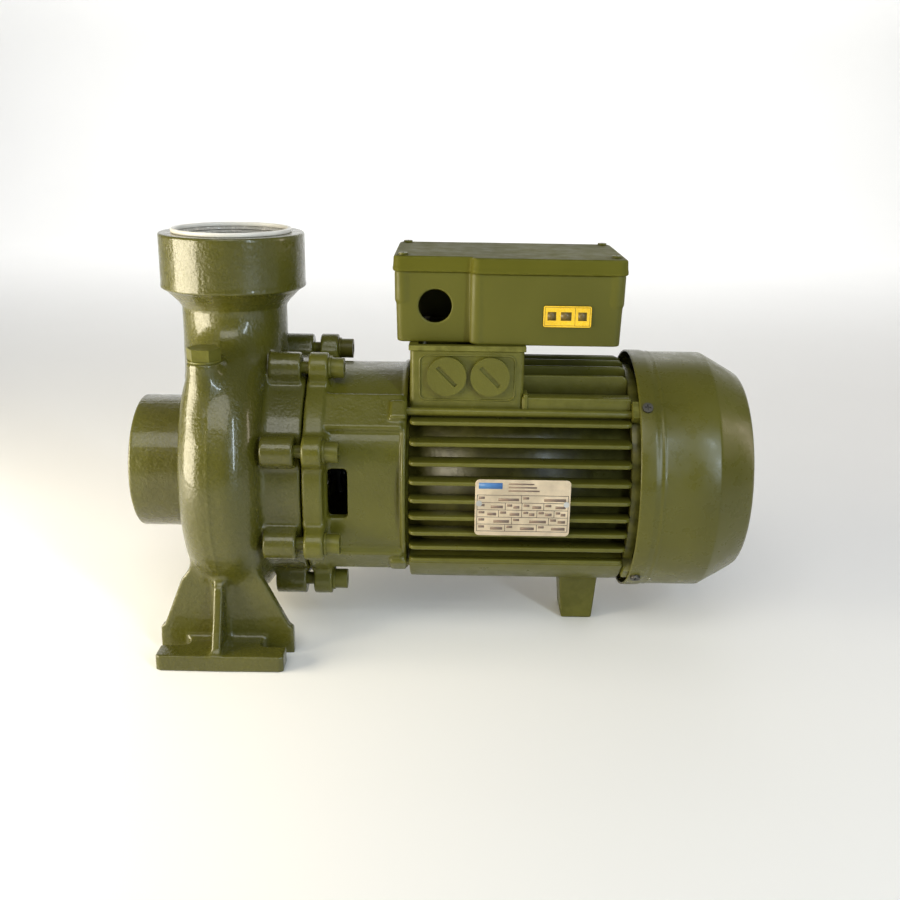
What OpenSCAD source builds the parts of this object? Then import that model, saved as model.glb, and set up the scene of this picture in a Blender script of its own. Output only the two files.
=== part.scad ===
// Close-coupled single-stage centrifugal pump: volute casing, lantern bracket and fan-cooled motor.
// Millimetres. +X runs along the shaft from the suction mouth to the fan, +Y is the far side, +Z is up.
// The origin is the centre of the foot bolt pattern on the base plane, below the discharge port.

/* [Casing] */
// Height of the shaft line above the base plane
shaft_height = 132; // [112:1:160]
// X of the suction mouth face
suction_x = -80; // [-100:1:-70]
// Outer radius of the suction collar
suction_collar_r = 54.6; // [50:0.1:60]
// Wall radius of the threaded ports
port_r = 42.5; // [38:0.5:46]
// Length of the threaded ports
port_depth = 30; // [24:1:36]
// Outer radius of the discharge collar
discharge_collar_r = 56.75; // [52:0.25:62]
// Height of the discharge collar face
discharge_z = 321.5; // [300:0.5:340]
// Height where the discharge collar starts
collar_base_z = 279.5; // [260:0.5:300]
// Outer radius of the discharge neck
neck_r = 41; // [36:0.5:46]
// Radial half height of the scroll section
scroll_half_h = 31; // [26:1:34]
// Axial half width of the scroll section
scroll_half_w = 33; // [28:1:38]
// Centreline radius of the first scroll quadrant
scroll_radius = 69; // [64:1:76]
// Growth of the scroll radius per quadrant
scroll_step = 6; // [3:0.5:8]
// Casing wall thickness
casing_wall = 7; // [5:0.5:10]

/* [Feet] */
// Half length of a foot pad along the shaft
foot_half_x = 49; // [44:1:56]
// Distance from the shaft plane to the outer edge of a pad
foot_outer_y = 120.8; // [110:0.2:130]
// Distance from the shaft plane to the inner edge of a pad
foot_inner_y = 80; // [70:1:90]
// Thickness of a foot pad
foot_thick = 13; // [10:0.5:18]
// Spacing of the foot slots across the shaft
foot_slot_y = 190; // [160:1:210]
// Spacing of the foot slot centres along the shaft
foot_slot_x = 70; // [60:1:80]
// Half width of a foot slot
foot_slot_r = 7; // [5:0.5:8]

/* [Flange] */
// Number of casing bolts
bolt_count = 8; // [4:1:12]
// Radius of the casing bolt circle
bolt_circle_r = 97; // [92:0.5:102]
// Radius of one bolt ear
ear_r = 12; // [10:0.5:14]
// X of the joint between casing and bracket
joint_x = 61; // [58:0.5:64]
// Radius of the flange ring between ears
flange_r = 90; // [84:0.5:96]

/* [Motor] */
// X of the bracket end face against the motor
bracket_end_x = 141; // [136:0.5:146]
// X of the fan end of the finned housing
housing_end_x = 313; // [300:0.5:320]
// Outer radius of the housing tube below the fins
tube_r = 79; // [76:0.5:84]
// Tip radius of the cooling fins
fin_r = 93; // [88:0.5:96]
// Spacing of the cooling fins
fin_pitch = 14; // [10:0.5:18]
// Thickness of one cooling fin
fin_thick = 3; // [2:0.5:5]
// Rim radius of the fan cover
cover_r = 98; // [94:0.5:104]
// X of the fan cover mouth
cover_x = 317.6; // [312:0.2:322]
// X of the fan cover end face
cover_end_x = 408; // [400:0.5:420]
// Radius of the fan cover end face
cover_end_r = 79.5; // [70:0.5:84]

/* [Terminal box] */
// X of the box near the pump
box_x0 = 131; // [126:0.5:140]
// X of the box near the fan
box_x1 = 303.5; // [290:0.5:310]
// Y of the box front face
box_y0 = -56; // [-64:0.5:-50]
// Y of the box back face
box_y1 = 49; // [44:0.5:56]
// Height of the box floor
box_z0 = 245; // [240:0.5:250]
// Height of the lid seam
lid_z0 = 299; // [290:0.5:304]
// Height of the lid top
lid_z1 = 310.6; // [304:0.2:320]
// Set back of the front face at the cable entry
entry_step = 9; // [4:0.5:14]
// Radius of the cable entry
entry_r = 12.6; // [10:0.1:16]

/* [Hidden] */
$fn = 64;
fit_gap = 0.05;
run_gap = 0.4;
scroll_x = -2;
scroll_corner = 20;
scroll_front_x = scroll_x - scroll_half_w;
scroll_back_x = scroll_x + scroll_half_w;
cavity_front_x = scroll_front_x + casing_wall;
chamber_r = 74;
eye_r = 36;
spigot_r = 78;
throat_r = 33;
washer_x = 79;
head_x = 81;
head_h = 10;
bolt_r = 5;
bolt_phase = 22.5;
plug_x = -9;
plug_y = -76;
plug_z = 234;
drain_x = 25;
drain_y = 93;
drain_z = 52;
shaft_r = 10;
seal_shaft_r = 11;
front_bearing_x = 122;
bearing_w = 16;
bearing_or = 31;
bearing_ir = 15;
rear_bearing_x = 302;
rear_bearing_w = 15;
rear_bearing_or = 26;
rear_bearing_ir = 12.5;
stator_x0 = 175;
stator_x1 = 265;
stator_or = 75;
stator_ir = 41.4;
rod_r = 3;
rod_circle_r = 88;
base_x0 = 143;
base_x1 = 230;
base_y0 = -58;
base_y1 = 45;
base_z0 = 180;
base_z1 = 241;
split_x = 190;
box_wall = 3;
blank_z = 222;
blank_x = [171, 204];
stud_x = [158, 176, 194];
base_screws = [[153, -38], [220, -38], [153, 36], [220, 36]];
tiny = 0.01;

// Rounded rectangle section, radial by axial
function round_box(h, w, c) = [
    for (q = [0:3]) for (k = [0:3])
        let (a = 90 * q + 30 * k)
        [((q == 0 || q == 3) ? 1 : -1) * (h - c) + c * cos(a), (q < 2 ? 1 : -1) * (w - c) + c * sin(a)]
];

module xcyl(r, x0, x1, y = 0, z = shaft_height)
    translate([x0, y, z]) rotate([0, 90, 0]) cylinder(r = r, h = x1 - x0);

module xcone(r0, r1, x0, x1)
    translate([x0, 0, shaft_height]) rotate([0, 90, 0]) cylinder(r1 = r0, r2 = r1, h = x1 - x0);

module xring(ro, ri, x0, x1)
    difference() {
        xcyl(ro, x0, x1);
        xcyl(ri, x0 - 1, x1 + 1);
    }

module ycyl(r, y0, y1, x, z)
    translate([x, y0, z]) rotate([-90, 0, 0]) cylinder(r = r, h = y1 - y0);

module zcyl(r, z0, z1, x = 0, y = 0)
    translate([x, y, z0]) cylinder(r = r, h = z1 - z0);

module block(x0, x1, y0, y1, z0, z1)
    translate([x0, y0, z0]) cube([x1 - x0, y1 - y0, z1 - z0]);

// Places children built about the shaft line with +Y radial at angle a
module spin(a)
    translate([0, 0, shaft_height]) rotate([a, 0, 0]) children();

// Repeats children round the shaft line
module around(n, phase = 0)
    for (i = [0:n - 1]) spin(phase + 360 / n * i) children();

// Cylinder along X in the spin frame
module rcyl(r, x0, x1, rad)
    translate([x0, rad, 0]) rotate([0, 90, 0]) cylinder(r = r, h = x1 - x0);

module quadrant(cy, cz, radius, start, h, w, c)
    translate([scroll_x, cy, shaft_height + cz]) rotate([0, 90, 0])
        rotate_extrude(angle = 90, start = start, $fn = 96)
            translate([radius, 0]) polygon(round_box(h, w, c));

// Four tangent arcs with growing radius, from the cutwater round to the discharge
module scroll(h, w, c) {
    s = scroll_step;
    quadrant(s / 2, -s / 2, scroll_radius, 90, h, w, c);
    quadrant(-s / 2, -s / 2, scroll_radius + s, 0, h, w, c);
    quadrant(-s / 2, s / 2, scroll_radius + 2 * s, 270, h, w, c);
    quadrant(s / 2, s / 2, scroll_radius + 3 * s, 180, h, w, c);
}

module ears(x0, x1, root_r)
    around(bolt_count, bolt_phase) {
        rcyl(ear_r, x0, x1, bolt_circle_r);
        translate([x0, root_r, -ear_r]) cube([x1 - x0, bolt_circle_r - root_r, 2 * ear_r]);
    }

module foot_slots(side)
    for (sx = [-1, 1]) {
        zcyl(foot_slot_r, -1, foot_thick + 1, sx * foot_slot_x / 2, side * foot_slot_y / 2);
        translate([sx > 0 ? foot_slot_x / 2 : -foot_half_x - 6, side * foot_slot_y / 2 - foot_slot_r, -1])
            cube([foot_half_x + 6 - foot_slot_x / 2, 2 * foot_slot_r, foot_thick + 2]);
    }

module foot(side) {
    web_y = foot_inner_y;
    web_t = 8;
    rib_t = 6;
    difference() {
        block(-foot_half_x, foot_half_x, side > 0 ? web_y : -foot_outer_y, side > 0 ? foot_outer_y : -web_y,
            0, foot_thick);
        foot_slots(side);
    }
    translate([0, side > 0 ? web_y + web_t : -web_y, 0]) rotate([90, 0, 0]) linear_extrude(height = web_t)
        polygon([[-52.5, 0], [52.5, 0], [52.5, 20], [30, 62], [18, 78], [-20, 78], [-34, 62], [-52.5, 20]]);
    translate([-3 - rib_t / 2, 0, 0]) rotate([90, 0, 90]) linear_extrude(height = rib_t)
        polygon([[side * 82, foot_thick - 1], [side * 118, foot_thick - 1], [side * 116, foot_thick + 3],
            [side * 94, 62], [side * 82, 70]]);
}

module volute_casing()
    color([0.36, 0.37, 0.20]) difference() {
        union() {
            scroll(scroll_half_h, scroll_half_w, scroll_corner);
            xcyl(72, scroll_front_x, scroll_back_x);
            xcyl(suction_collar_r, suction_x, scroll_front_x + 2);
            xcone(suction_collar_r, 64, -45, scroll_front_x + 1);
            zcyl(neck_r, 244, 266);
            translate([0, 0, 196]) cylinder(r1 = 27, r2 = neck_r, h = 48);
            translate([0, 0, 262]) cylinder(r1 = neck_r, r2 = discharge_collar_r, h = collar_base_z - 262);
            zcyl(discharge_collar_r, collar_base_z, discharge_z);
            xcyl(flange_r, 24, joint_x);
            ears(35, 58, 80);
            foot(-1);
            foot(1);
            zcyl(13, 190, plug_z, plug_x, plug_y);
            ycyl(9, 70, drain_y, drain_x, drain_z);
        }
        scroll(scroll_half_h - casing_wall, scroll_half_w - casing_wall, scroll_corner - casing_wall);
        xcyl(chamber_r, cavity_front_x, scroll_back_x + 16);
        xcyl(spigot_r, 46, joint_x + 1);
        xcyl(port_r, suction_x - 1, suction_x + port_depth);
        xcyl(eye_r, suction_x, cavity_front_x + 1);
        zcyl(port_r, discharge_z - port_depth, discharge_z + 1);
        zcyl(throat_r, 214, discharge_z);
        around(bolt_count, bolt_phase) rcyl(bolt_r + fit_gap, 38, 60, bolt_circle_r);
        zcyl(9.5, 180, plug_z + 1, plug_x, plug_y);
        ycyl(5, 62, drain_y + 1, drain_x, drain_z);
    }

module wear_ring()
    color([0.66, 0.52, 0.28]) xring(eye_r - fit_gap, 32, -44, cavity_front_x + 1);

module port_ring()
    color([0.90, 0.90, 0.88]) difference() {
        zcyl(46.8, discharge_z, discharge_z + 3.3);
        zcyl(port_r + 1, discharge_z - 1, discharge_z + 5);
    }

module casing_o_ring()
    color([0.05, 0.05, 0.05]) xring(spigot_r - 0.1, 75.2, 50.1, 52.9);

module hex_plug(r, af, head, shank, x, y, z) {
    translate([x, y, z]) cylinder(r = af / sqrt(3), h = head, $fn = 6);
    translate([x, y, z - shank]) cylinder(r = r, h = shank);
}

module priming_plug()
    color([0.40, 0.40, 0.24]) hex_plug(9.5 - fit_gap, 22, 9, 18, plug_x, plug_y, plug_z + 1.5);

module priming_plug_washer()
    color([0.70, 0.42, 0.25]) difference() {
        zcyl(12.4, plug_z, plug_z + 1.5, plug_x, plug_y);
        zcyl(9.6, plug_z - 1, plug_z + 3, plug_x, plug_y);
    }

module drain_plug()
    color([0.40, 0.40, 0.24]) translate([drain_x, drain_y, drain_z]) rotate([-90, 0, 0])
        hex_plug(5 - fit_gap, 14, 6, 14, 0, 0, 0);

module flange_bolts()
    color([0.16, 0.16, 0.14]) difference() {
        around(bolt_count, bolt_phase) {
            rcyl(bolt_r, 42, head_x + tiny, bolt_circle_r);
            rcyl(8, head_x, head_x + head_h, bolt_circle_r);
        }
        around(bolt_count, bolt_phase)
            translate([head_x + head_h - 5, bolt_circle_r, 0]) rotate([0, 90, 0])
                cylinder(r = 4.6, h = 6, $fn = 6);
    }

module flange_washers()
    color([0.55, 0.55, 0.52]) difference() {
        around(bolt_count, bolt_phase) rcyl(9, washer_x, head_x, bolt_circle_r);
        around(bolt_count, bolt_phase) rcyl(bolt_r + 0.1, washer_x - 1, head_x + 1, bolt_circle_r);
    }

module motor_bracket()
    color([0.36, 0.37, 0.20]) difference() {
        union() {
            xcyl(spigot_r - fit_gap, 47, joint_x + 1);
            xcyl(flange_r, joint_x, 78);
            ears(64, washer_x, 80);
            xcyl(80, 77, bracket_end_x);
            xcyl(88, 136, bracket_end_x);
            around(4, 45) translate([77, 60, -15]) cube([bracket_end_x - 77, 27.5, 30]);
            around(4, 45) translate([127, 60, -9]) cube([bracket_end_x - 127, 33, 18]);
            xcyl(stator_or - fit_gap, bracket_end_x - 1, 147);
            xcyl(78, bracket_end_x - 1, 143);
        }
        difference() {
            xcyl(72, 58, 127);
            xcone(44, 34, 57, 72);
            xcyl(bearing_or + 6, 112, 128);
        }
        xcyl(66, 138, 148);
        xcyl(18, 40, 150);
        xcyl(20, 46, 60);
        xcyl(bearing_or, front_bearing_x, 150);
        difference() {
            xcyl(spigot_r + 1, 50, 53);
            xcyl(75, 49, 54);
        }
        around(bolt_count, bolt_phase) rcyl(bolt_r + 0.1, 60, 80, bolt_circle_r);
        for (a = [0, 180]) spin(a) block(80.5, 96, 40, 95, -20, 20);
        spin(270) block(82, 112, 40, 95, -10, 10);
        around(4, 45) rcyl(rod_r + fit_gap, 129, 144, rod_circle_r);
    }

module seal_seat()
    color([0.85, 0.85, 0.82]) xring(20 - fit_gap, 13, 48.4, 58);

module bearing_outer(ro, x0, w, race_r, ball_r)
    difference() {
        xcyl(ro, x0, x0 + w);
        xcyl(race_r + ball_r * 0.62, x0 - 1, x0 + w + 1);
        translate([x0 + w / 2, 0, shaft_height]) rotate([0, 90, 0])
            rotate_extrude() translate([race_r, 0]) circle(r = ball_r + 0.1);
    }

module bearing_inner(ri, x0, w, race_r, ball_r)
    difference() {
        xcyl(race_r - ball_r * 0.62, x0, x0 + w);
        xcyl(ri, x0 - 1, x0 + w + 1);
        translate([x0 + w / 2, 0, shaft_height]) rotate([0, 90, 0])
            rotate_extrude() translate([race_r, 0]) circle(r = ball_r + run_gap);
    }

module bearing_balls(x0, w, race_r, ball_r)
    around(9) translate([x0 + w / 2, race_r, 0]) sphere(r = ball_r);

module front_bearing_outer()
    color([0.75, 0.76, 0.78]) bearing_outer(bearing_or - fit_gap, front_bearing_x, bearing_w, 23, 4.7);

module front_bearing_inner()
    color([0.75, 0.76, 0.78]) bearing_inner(bearing_ir, front_bearing_x, bearing_w, 23, 4.7);

module front_bearing_balls()
    color([0.85, 0.86, 0.88]) bearing_balls(front_bearing_x, bearing_w, 23, 4.7);

module rear_bearing_outer()
    color([0.75, 0.76, 0.78])
        bearing_outer(rear_bearing_or - fit_gap, rear_bearing_x, rear_bearing_w, 19.3, 3.9);

module rear_bearing_inner()
    color([0.75, 0.76, 0.78]) bearing_inner(rear_bearing_ir, rear_bearing_x, rear_bearing_w, 19.3, 3.9);

module rear_bearing_balls()
    color([0.85, 0.86, 0.88]) bearing_balls(rear_bearing_x, rear_bearing_w, 19.3, 3.9);

module wave_washer()
    color([0.72, 0.72, 0.70]) xring(rear_bearing_or - 0.3, 21, rear_bearing_x + rear_bearing_w,
        rear_bearing_x + rear_bearing_w + 1.5);

module shaft()
    color([0.70, 0.71, 0.72]) difference() {
        union() {
            xcyl(6, -14, 0);
            xcyl(shaft_r, -1, 36);
            xcyl(seal_shaft_r, 35, 100);
            xcyl(bearing_ir + 2.5, 99, front_bearing_x);
            xcyl(bearing_ir, front_bearing_x - 1, front_bearing_x + bearing_w + 1);
            xcyl(18, front_bearing_x + bearing_w, 290);
            xcyl(15, 289, rear_bearing_x);
            xcyl(rear_bearing_ir, rear_bearing_x - 1, 330);
            xcyl(10, 329, 366);
        }
        xring(12, 9, 361, 362.3);
        block(4, 26, -3, 3, shaft_height + 6.5, shaft_height + 12);
    }

module impeller() {
    eye_in = 26;
    back_x = 20;
    color([0.62, 0.50, 0.30]) difference() {
        union() {
            xcyl(68, back_x, back_x + 4);
            xring(68, eye_in, -6, -2);
            xring(31.4, eye_in, -34, -3);
            intersection() {
                around(6) translate([-4, 12, 0]) rotate([28, 0, 0]) cube([back_x + 5, 66, 4]);
                xcyl(68, -4, back_x + 1);
            }
        }
        xcyl(eye_in, -36, 6);
        xcyl(14, -2, 40);
    }
    color([0.62, 0.50, 0.30]) difference() {
        xcyl(15, -1, 34);
        xcyl(shaft_r, -2, 40);
        block(2, 36, -3, 3, shaft_height, shaft_height + 12.5);
    }
}

module impeller_key()
    color([0.55, 0.56, 0.58]) block(4, 26, -2.97, 2.97, shaft_height + 6.5, shaft_height + 12.4);

module impeller_washer()
    color([0.70, 0.71, 0.72]) xring(12, 6.1, -2.6, -1);

module impeller_nut()
    color([0.70, 0.71, 0.72]) difference() {
        translate([-12, 0, shaft_height]) rotate([0, 90, 0]) cylinder(r = 19 / sqrt(3), h = 9.4, $fn = 6);
        xcyl(6 + fit_gap, -13, 0);
    }

module seal_rotating_ring()
    color([0.20, 0.20, 0.21]) xring(18, 12.4, 42.2, 48);

module seal_bellows()
    color([0.06, 0.06, 0.06]) xring(12.3, seal_shaft_r, 36, 48);

module seal_spring()
    color([0.78, 0.78, 0.76]) for (i = [0:2])
        translate([37.4 + 1.85 * i, 0, shaft_height]) rotate([0, 90, 0])
            rotate_extrude() translate([15, 0]) circle(r = 0.9, $fn = 24);

module slinger()
    color([0.06, 0.06, 0.06]) difference() {
        union() {
            xring(16, seal_shaft_r, 76, 86);
            xring(26, seal_shaft_r, 82, 85);
        }
        xcyl(seal_shaft_r, 70, 90);
    }

module rotor_core()
    color([0.46, 0.46, 0.48]) union() {
        xring(41, 18, stator_x0 - 1, stator_x1 + 1);
        xring(38, 24, stator_x0 - 11, stator_x0);
        xring(38, 24, stator_x1, stator_x1 + 11);
    }

module stator_core()
    color([0.42, 0.42, 0.44]) difference() {
        xcyl(stator_or - fit_gap, stator_x0, stator_x1);
        xcyl(stator_ir, stator_x0 - 1, stator_x1 + 1);
    }

module winding_head(x0, x1)
    xring(68, 48, x0, x1);

module stator_winding()
    color([0.66, 0.33, 0.15]) {
        winding_head(152, stator_x0);
        winding_head(stator_x1, 288);
    }

module side_fins()
    for (k = [-4:4])
        block(base_x0, housing_end_x, -100, 100, shaft_height + k * fin_pitch - fin_thick / 2,
            shaft_height + k * fin_pitch + fin_thick / 2);

module upright_fins()
    for (k = [-2.5:1:2.5])
        block(base_x0, housing_end_x, k * fin_pitch - fin_thick / 2, k * fin_pitch + fin_thick / 2, 30, 236);

module motor_housing()
    color([0.36, 0.37, 0.20]) difference() {
        union() {
            xcyl(tube_r, 143, housing_end_x);
            intersection() {
                union() {
                    side_fins();
                    upright_fins();
                    for (y = [-76, 42]) block(base_x0, housing_end_x, y, y + 34, 40, 74);
                }
                xcyl(fin_r, base_x0, housing_end_x);
            }
            block(base_x0, base_x1, base_y0, base_y1, base_z0, base_z1);
            block(base_x1 - 1, housing_end_x, -60, -46, base_z0, 206);
            block(base_x1 - 1, housing_end_x, 46, 60, base_z0, 206);
            block(264, 306, -20, 20, 42, 56);
            block(191, 269, -fin_r, -74, 103, 154);
        }
        xcyl(stator_or, 140, housing_end_x + 1);
        difference() {
            block(base_x0 + 6, base_x1 - 6, base_y0 + 5, base_y1 - 5, 212, base_z1 + 1);
            for (p = base_screws) zcyl(6, 210, base_z1 + 2, p[0], p[1]);
        }
        for (p = base_screws) zcyl(2, 226, base_z1 + 1, p[0], p[1]);
        zcyl(11, 200, 216, 186, -5);
        for (x = blank_x) ycyl(11, base_y0 - 1, base_y0 + 8, x, blank_z);
        around(4, 45) rcyl(rod_r + 0.6, 140, housing_end_x + 1, rod_circle_r);
        zcyl(4.05, 41, 56, 285, 0);
        block(263.9, 306.1, -20.1, 20.1, 30, 42);
    }

module rear_end_shield()
    color([0.36, 0.37, 0.20]) difference() {
        union() {
            xcyl(86, housing_end_x, 320);
            xcyl(stator_or - fit_gap, 303, housing_end_x + 1);
            around(4, 45) translate([housing_end_x, 70, -7]) cube([17, 26, 14]);
        }
        difference() {
            xcyl(66, 300, 312);
            xcyl(rear_bearing_or + 6, 299, 313);
        }
        xcyl(rear_bearing_or, 299, rear_bearing_x + rear_bearing_w + 1.5);
        xcyl(14, 299, 322);
        around(4, 45) rcyl(rod_r + 0.6, 312, 336, rod_circle_r);
        around(4, 45) translate([323.5, 91.5, 0]) rotate([-90, 0, 0]) cylinder(r = 2, h = 16);
    }

module tie_rods()
    color([0.72, 0.72, 0.70]) around(4, 45) rcyl(rod_r, 130, 335, rod_circle_r);

module tie_rod_nuts()
    color([0.60, 0.60, 0.58]) difference() {
        around(4, 45) translate([330, rod_circle_r, 0]) rotate([0, 90, 0])
            cylinder(r = 5.6, h = 5, $fn = 6);
        around(4, 45) rcyl(rod_r + fit_gap, 329, 340, rod_circle_r);
    }

module support_foot()
    color([0.36, 0.37, 0.20]) difference() {
        union() {
            translate([285, 0, 0]) rotate([90, 0, 0]) translate([0, 0, -18]) linear_extrude(height = 36)
                polygon([[-13, 0], [13, 0], [16.5, 42], [-16.5, 42]]);
        }
        zcyl(4.1, 20, 43, 285, 0);
        zcyl(7.5, -1, 30, 285, 0);
    }

module support_foot_screw()
    color([0.35, 0.35, 0.33]) difference() {
        union() {
            zcyl(4, 29, 55, 285, 0);
            zcyl(6.5, 22, 30, 285, 0);
        }
        translate([285, 0, 21]) cylinder(r = 3.6, h = 5, $fn = 6);
    }

module cooling_fan()
    color([0.10, 0.10, 0.11]) difference() {
        union() {
            xcyl(16, 341, 361);
            xcyl(58, 343, 346);
            intersection() {
                around(7) translate([343, 14, -1.2]) cube([30, 66, 2.4]);
                union() {
                    xcyl(80, 343, 368);
                    xcone(80, 66, 368, 373);
                }
            }
        }
        xcyl(10, 340, 380);
        xcyl(16, 361, 374);
    }

module fan_clip()
    color([0.50, 0.51, 0.53]) difference() {
        xring(12.2, 9.05, 361.05, 362.25);
        block(360, 364, -2, 2, shaft_height + 5, shaft_height + 14);
    }

module grille_slots(x0, x1) {
    for (ring = [20:11:64])
        difference() {
            xring(ring + 5, ring, x0, x1);
            for (a = [0:45:135]) spin(a + (ring % 2) * 11) block(x0 - 1, x1 + 1, -90, 90, -3, 3);
        }
}

module fan_cover() {
    t = 1.6;
    color([0.36, 0.37, 0.20]) difference() {
        union() {
            xcyl(cover_r, cover_x, 331);
            xcone(cover_r, 96.8, 331, 335);
            xcyl(96.8, 335, 379);
            xcone(96.8, cover_end_r, 379, cover_end_x);
        }
        xcyl(cover_r - t, cover_x - 1, 330);
        xcone(cover_r - t, 96.8 - t, 330, 334);
        xcyl(96.8 - t, 333, 378);
        xcone(96.8 - t, cover_end_r - t, 378, cover_end_x - t);
        grille_slots(cover_end_x - 4, cover_end_x + 1);
        around(4, 45) translate([323.5, 90, 0]) rotate([-90, 0, 0]) cylinder(r = 2.1, h = 12);
    }
}

module fan_cover_screws()
    color([0.55, 0.55, 0.50]) difference() {
        around(4, 45) {
            translate([323.5, 92, 0]) rotate([-90, 0, 0]) cylinder(r = 1.95, h = 6.2);
            translate([323.5, cover_r, 0]) rotate([-90, 0, 0]) cylinder(r = 4, h = 2.2);
        }
        around(4, 45) translate([323.5, cover_r + 2, 0]) {
            cube([4.4, 1.6, 0.9], center = true);
            cube([0.9, 1.6, 4.4], center = true);
        }
    }

module box_gasket()
    color([0.08, 0.08, 0.08]) difference() {
        block(base_x0 - 1, base_x1 + 1, base_y0 - 1, base_y1 + 1, base_z1, box_z0);
        block(base_x0 + 6, base_x1 - 6, base_y0 + 5, base_y1 - 5, base_z1 - 1, box_z0 + 1);
    }

module blanking_plugs()
    color([0.34, 0.35, 0.19]) for (x = blank_x) difference() {
        union() {
            ycyl(15, base_y0 - 5, base_y0 - 1, x, blank_z);
            ycyl(10.9, base_y0 - 2, base_y0 + 5, x, blank_z);
        }
        translate([x, base_y0 - 5, blank_z]) rotate([0, 45, 0]) cube([20, 3, 3], center = true);
    }

module plug_seals()
    color([0.07, 0.07, 0.07]) for (x = blank_x) difference() {
        ycyl(14, base_y0 - 1, base_y0, x, blank_z);
        ycyl(11, base_y0 - 2, base_y0 + 1, x, blank_z);
    }

module terminal_board()
    color([0.30, 0.10, 0.07]) difference() {
        block(150, 202, -26, 16, 212, 218);
        for (x = stud_x) for (y = [-18, 8]) zcyl(2.55, 211, 219, x, y);
        zcyl(11, 211, 219, 186, -5);
    }

module terminal_studs()
    color([0.78, 0.62, 0.30]) for (x = stud_x) for (y = [-18, 8]) zcyl(2.5, 212, 232, x, y);

module terminal_nuts()
    color([0.78, 0.62, 0.30]) for (x = stud_x) for (y = [-18, 8]) difference() {
        translate([x, y, 218]) cylinder(r = 4.6, h = 4, $fn = 6);
        zcyl(2.55, 217, 223, x, y);
    }

module earth_screw()
    color([0.78, 0.62, 0.30]) {
        zcyl(2.5, 212, 218, 215, 25);
        zcyl(4.5, 217.9, 221, 215, 25);
    }

module run_capacitor()
    color([0.88, 0.88, 0.85]) {
        translate([230, 22, 270]) rotate([0, 90, 0]) cylinder(r = 20, h = 58);
        translate([222, 17, 270]) cube([8.1, 1.2, 6]);
        translate([222, 26, 270]) cube([8.1, 1.2, 6]);
    }

module capacitor_clip()
    color([0.60, 0.61, 0.62]) difference() {
        union() {
            translate([252, 22, 270]) rotate([0, 90, 0]) cylinder(r = 21.4, h = 12);
            block(252, 264, 10, 34, box_z0 + box_wall, 256);
        }
        translate([251, 22, 270]) rotate([0, 90, 0]) cylinder(r = 20.05, h = 14);
    }

module box_shape(g, z0, z1) {
    block(box_x0 + g, split_x + g, box_y0 + entry_step + g, box_y1 - g, z0, z1);
    block(split_x + g, box_x1 - g, box_y0 + g, box_y1 - g, z0, z1);
}

module box_body()
    color([0.35, 0.36, 0.20]) difference() {
        union() {
            difference() {
                box_shape(0, box_z0, lid_z0);
                box_shape(box_wall, box_z0 + box_wall, lid_z0 + 1);
            }
            for (x = [box_x0 + 6, box_x1 - 6]) for (y = [box_y0 + entry_step + 6, box_y1 - 6])
                zcyl(5, box_z0 + 1, lid_z0, x, y);
            ycyl(17, box_y0 + entry_step, box_y0 + entry_step + 5, 161.5, 273);
        }
        ycyl(entry_r, box_y0 + entry_step - 4, box_y0 + entry_step + 12, 161.5, 273);
        block(162, 211, -34, 28, box_z0 - 1, box_z0 + box_wall + 1);
        for (p = base_screws) zcyl(2.3, box_z0 - 1, box_z0 + 10, p[0], p[1]);
        for (x = [box_x0 + 6, box_x1 - 6]) for (y = [box_y0 + entry_step + 6, box_y1 - 6])
            zcyl(1.8, 280, lid_z0 + 1, x, y);
    }

module box_screws()
    color([0.60, 0.60, 0.58]) for (p = base_screws) {
        zcyl(1.95, 228, box_z0 + box_wall + tiny, p[0], p[1]);
        zcyl(3.4, box_z0 + box_wall, box_z0 + box_wall + 2.4, p[0], p[1]);
    }

module lid_gasket()
    color([0.08, 0.08, 0.08]) difference() {
        box_shape(0.6, lid_z0, lid_z0 + 1.5);
        box_shape(11.5, lid_z0 - 1, lid_z0 + 3);
        for (x = [box_x0 + 6, box_x1 - 6]) for (y = [box_y0 + entry_step + 6, box_y1 - 6])
            zcyl(2.3, lid_z0 - 1, lid_z0 + 3, x, y);
    }

module box_lid()
    color([0.37, 0.38, 0.21]) difference() {
        box_shape(-1.8, lid_z0, lid_z1);
        box_shape(0.4, lid_z0 - 1, lid_z0 + 1.5);
        box_shape(2, lid_z0 + 1, lid_z1 - 2.4);
        for (x = [box_x0 + 6, box_x1 - 6]) for (y = [box_y0 + entry_step + 6, box_y1 - 6])
            zcyl(2, lid_z0 - 1, lid_z1 + 1, x, y);
    }

module lid_screws()
    color([0.30, 0.30, 0.26])
        for (x = [box_x0 + 6, box_x1 - 6])
            for (y = [box_y0 + entry_step + 6, box_y1 - 6])
        difference() {
            union() {
                zcyl(1.75, 284, lid_z1 + 0.1, x, y);
                zcyl(3.6, lid_z1, lid_z1 + 1.6, x, y);
            }
            translate([x, y, lid_z1 + 1.6]) {
                cube([4.4, 0.9, 1.6], center = true);
                cube([0.9, 4.4, 1.6], center = true);
            }
        }

module nameplate()
    color([0.80, 0.79, 0.70]) difference() {
        block(194, 266, -fin_r - 0.8, -fin_r, 106, 151);
        for (x = [197, 263]) ycyl(1.3, -fin_r - 2, -fin_r + 1, x, shaft_height);
    }

module nameplate_rivets()
    color([0.75, 0.75, 0.74]) for (x = [197, 263]) {
        ycyl(2.2, -fin_r - 1.8, -fin_r - 0.8, x, shaft_height);
        ycyl(1.2, -fin_r - 1, -fin_r, x, shaft_height);
    }

module info_label()
    color([0.92, 0.78, 0.10]) block(243, 279, box_y0 - 0.3, box_y0, 260, 276);

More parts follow.
